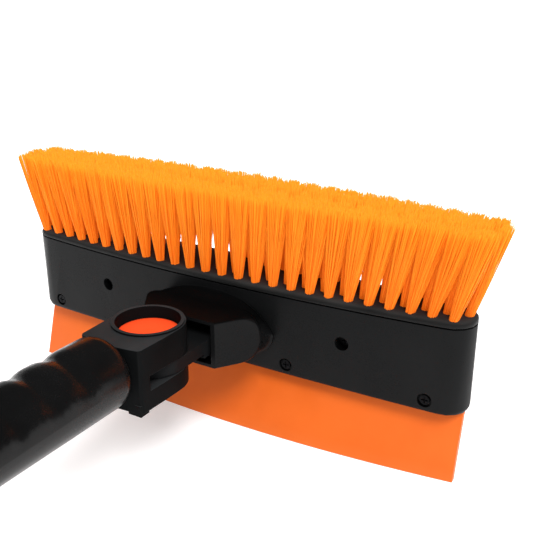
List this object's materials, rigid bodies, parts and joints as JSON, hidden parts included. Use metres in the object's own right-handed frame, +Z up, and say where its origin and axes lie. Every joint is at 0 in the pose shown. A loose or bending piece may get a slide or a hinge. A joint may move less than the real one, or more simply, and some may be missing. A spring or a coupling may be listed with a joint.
{
  "type": "snow brush scraper",
  "caption": "Snow brush with a swivelling T-shaped head of dense bristles, a squeegee blade below it, a push-button fork pivot, a grooved grip and an ice scraper at the far end",
  "frame": {"origin": "middle of the squeegee blade's lower edge, on the surface that the brush stands on", "axes": "+Z up, through the bristles; X along the brush head; the handle runs towards -Y"},
  "size_m": [0.2856, 0.5205, 0.1269],
  "materials": {
    "housing_plastic": "fine satin moulded black plastic",
    "cap_plastic": "satin moulded black plastic",
    "bristle": "bright orange polypropylene bristles",
    "blade_plastic": "smooth orange plastic",
    "button_plastic": "smooth red-orange plastic",
    "fork_plastic": "glossy moulded black plastic",
    "grip_plastic": "soft satin black grip",
    "tube_plastic": "black tube",
    "inner_plastic": "black moulded plastic",
    "scraper_plastic": "smooth orange plastic",
    "screw_steel": "blackened steel",
    "pin_steel": "plain bright steel"
  },
  "bodies": {
    "handle": {"fork": "fork_plastic", "fork_pin": "pin_steel", "handle_tube": "tube_plastic", "grip_sleeve": "grip_plastic", "grip_end_ring": "blade_plastic", "ice_scraper": "scraper_plastic", "scraper_screw_left": "screw_steel", "scraper_screw_right": "screw_steel", "pivot_bushing": "pin_steel", "button_spring": "pin_steel"},
    "head": {"head_front_shell": "housing_plastic", "head_rear_shell": "housing_plastic", "tuft_carrier": "cap_plastic", "bristle_row_front": "bristle", "bristle_row_front_inner": "bristle", "bristle_row_rear_inner": "bristle", "bristle_row_rear": "bristle", "bristle_end_left": "bristle", "bristle_end_right": "bristle", "squeegee_blade": "blade_plastic", "blade_clamp_front": "inner_plastic", "blade_clamp_rear": "inner_plastic", "head_screw_far_left": "screw_steel", "head_screw_left": "screw_steel", "head_screw_right": "screw_steel", "head_screw_far_right": "screw_steel", "head_screw_upper_left": "screw_steel", "head_screw_upper_right": "screw_steel", "pivot_tongue": "fork_plastic", "tongue_pin_left": "pin_steel", "tongue_pin_right": "pin_steel"},
    "button": {"push_button": "button_plastic", "lock_gear": "inner_plastic", "lock_gear_screw": "pin_steel"}
  },
  "joints": [
    {"name": "head_pivot", "type": "hinge", "parent": "handle", "child": "head", "pos_m": [0, -0.048, 0.057], "axis": [0, 0, 1], "range_deg": [-90, 90]},
    {"name": "button_press", "type": "slide", "parent": "handle", "child": "button", "axis": [0, 0, -1], "range_m": [0, 0.0035], "stiffness_N_per_m": 800, "springref_m": -0.002, "deforming": ["button_spring"]}
  ]
}
